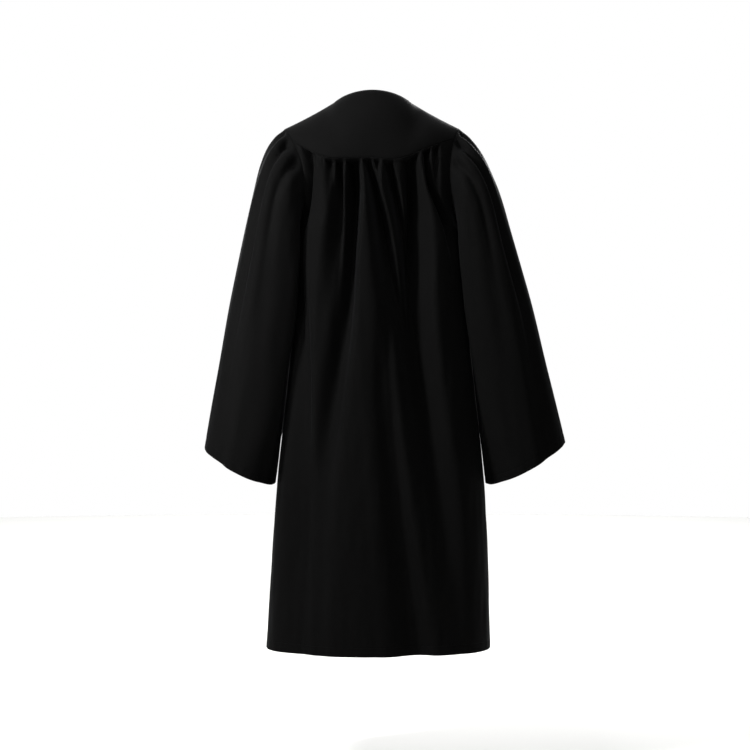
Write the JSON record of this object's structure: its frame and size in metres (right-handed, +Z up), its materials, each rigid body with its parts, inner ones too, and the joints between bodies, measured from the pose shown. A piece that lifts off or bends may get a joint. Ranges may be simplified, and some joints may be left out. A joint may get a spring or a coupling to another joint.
{
  "type": "graduation gown",
  "caption": "Graduation gown filled out as it hangs when worn: smooth shoulder yoke, gathered back, wide bell sleeves and a closed front zip with a swinging pull tab.",
  "frame": {"origin": "middle of the neck opening, level with the neck ends of the shoulder seams, where the gown bears on the wearer's shoulders", "axes": "+Z up the length of the gown, +Y out of its back, +X towards the wearer's left sleeve"},
  "size_m": [0.7966, 0.4116, 1.2206],
  "materials": {
    "gown_cloth": "matte black woven polyester",
    "zip_nylon": "black nylon coil on woven tape",
    "zip_enamel": "gloss black enamel"
  },
  "bodies": {
    "gown": {"back": "gown_cloth", "yoke_back": "gown_cloth", "yoke_front_left": "gown_cloth", "yoke_front_right": "gown_cloth", "front_left": "gown_cloth", "front_right": "gown_cloth", "sleeve_left": "gown_cloth", "sleeve_right": "gown_cloth", "zip_chain": "zip_nylon", "zip_slider": "zip_enamel"},
    "pull_tab": {"zip_pull": "zip_enamel"}
  },
  "joints": [
    {"name": "pull_tab_hinge", "type": "hinge", "parent": "gown", "child": "pull_tab", "pos_m": [-0.00609, -0.11445, -0.13552], "axis": [-1, 0, 0], "range_deg": [0, 135]}
  ]
}
